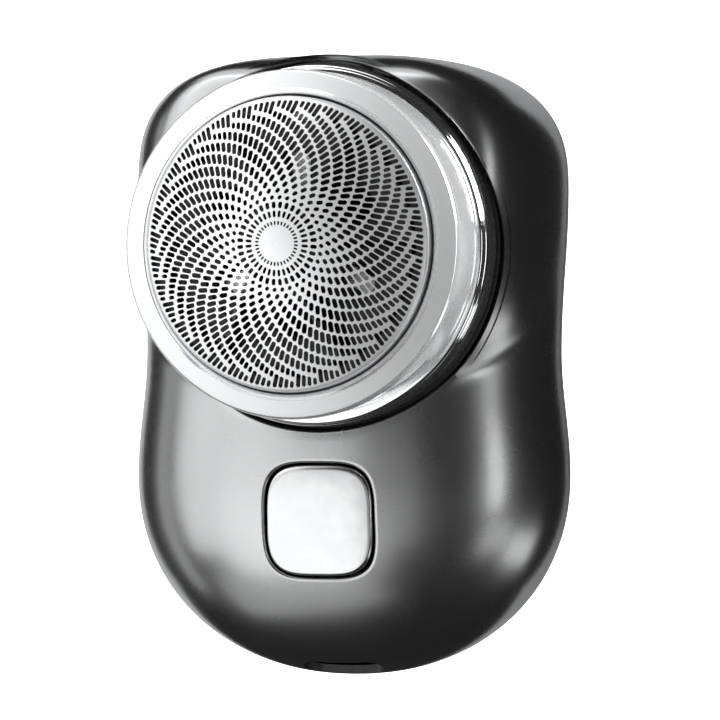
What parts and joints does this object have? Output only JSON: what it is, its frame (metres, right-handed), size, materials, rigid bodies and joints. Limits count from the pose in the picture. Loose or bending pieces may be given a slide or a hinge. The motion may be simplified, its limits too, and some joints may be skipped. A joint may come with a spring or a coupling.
{
  "type": "rotary electric shaver",
  "caption": "Pocket rotary shaver: a smooth waisted body with a round domed foil head in a metal ring that pulls off, and a rounded square button.",
  "frame": {"origin": "on the flat of the back, in the middle of the body's length and width", "axes": "+Z out of the front along the head's axis, +Y towards the head end, +X to the right seen from the front; it lies on its back"},
  "size_m": [0.0492, 0.068, 0.0344],
  "materials": {
    "shell": "satin gunmetal",
    "ring": "polished side, satin front face",
    "chrome": "polished",
    "foil": "fine satin",
    "blade": "ground",
    "button": "bright silver plating",
    "neck": "fine moulded",
    "black_plastic": "moulded",
    "pale_plastic": "moulded",
    "rubber": "matte",
    "foam": "open-cell foam",
    "steel": "plated",
    "magnet": "nickel plated",
    "ferrite": "sintered",
    "bronze": "sintered",
    "copper": "enamelled",
    "lead": "smooth insulation",
    "cell": "foil pouch",
    "board": "solder mask",
    "chip": "moulded"
  },
  "bodies": {
    "housing": {"front_shell": "shell", "back_cover": "shell", "shell_gasket": "rubber", "inner_frame": "black_plastic", "frame_screws": "steel", "head_deck": "neck", "deck_screws": "steel", "deck_o_ring": "rubber", "shaft_seal": "rubber", "deck_magnets": "magnet", "base_ring": "chrome", "motor_can": "steel", "motor_end_cap": "pale_plastic", "motor_magnets": "ferrite", "front_bush": "bronze", "rear_bush": "bronze", "motor_brushes": "copper", "motor_screws": "steel", "motor_leads": "lead", "battery_cell": "cell", "battery_pad": "foam", "battery_leads": "lead", "circuit_board": "board", "board_chips": "chip", "board_screws": "steel", "usb_socket": "steel", "usb_tongue": "black_plastic", "usb_seal": "rubber", "tactile_switch": "black_plastic", "button_guide": "black_plastic", "button_gasket": "rubber"},
    "button": {"power_button": "button"},
    "plunger": {"switch_plunger": "black_plastic"},
    "rotor": {"motor_shaft": "steel", "armature_core": "steel", "armature_windings": "copper", "commutator": "copper", "drive_collar": "pale_plastic", "spindle_spring": "steel"},
    "spindle": {"drive_spindle": "pale_plastic"},
    "head": {"cap_ring": "ring", "cap_liner": "black_plastic", "cap_magnets": "magnet", "cutter_retainer": "steel"},
    "foil_unit": {"foil": "foil", "foil_holder": "black_plastic"},
    "cutter": {"cutter_hub": "black_plastic", "cutter_blades": "blade"}
  },
  "joints": [
    {"name": "head_pull", "type": "slide", "parent": "housing", "child": "head", "axis": [0, 0, 1], "range_m": [0, 0.016]},
    {"name": "foil_float", "type": "slide", "parent": "head", "child": "foil_unit", "axis": [0, 0, 1], "range_m": [-0.0012, 0], "stiffness_N_per_m": 800, "springref_m": 0.0005},
    {"name": "cutter_spin", "type": "hinge", "parent": "foil_unit", "child": "cutter", "pos_m": [0, 0.0129, 0], "axis": [0, 0, 1], "continuous": true},
    {"name": "rotor_spin", "type": "hinge", "parent": "housing", "child": "rotor", "pos_m": [0, 0.0129, 0], "axis": [0, 0, 1], "continuous": true},
    {"name": "spindle_slide", "type": "slide", "parent": "rotor", "child": "spindle", "axis": [0, 0, 1], "range_m": [-0.0012, 0], "deforming": ["spindle_spring"]},
    {"name": "button_press", "type": "slide", "parent": "housing", "child": "button", "axis": [0, 0, 1], "range_m": [-0.0004, 0], "stiffness_N_per_m": 2000, "springref_m": 0.0003},
    {"name": "plunger_press", "type": "slide", "parent": "housing", "child": "plunger", "axis": [0, 0, 1], "range_m": [-0.0004, 0]}
  ],
  "couplings": [
    {"joint": "spindle_slide", "follows": "foil_float", "ratio": 1},
    {"joint": "cutter_spin", "follows": "rotor_spin", "ratio": 1},
    {"joint": "plunger_press", "follows": "button_press", "ratio": 1}
  ]
}
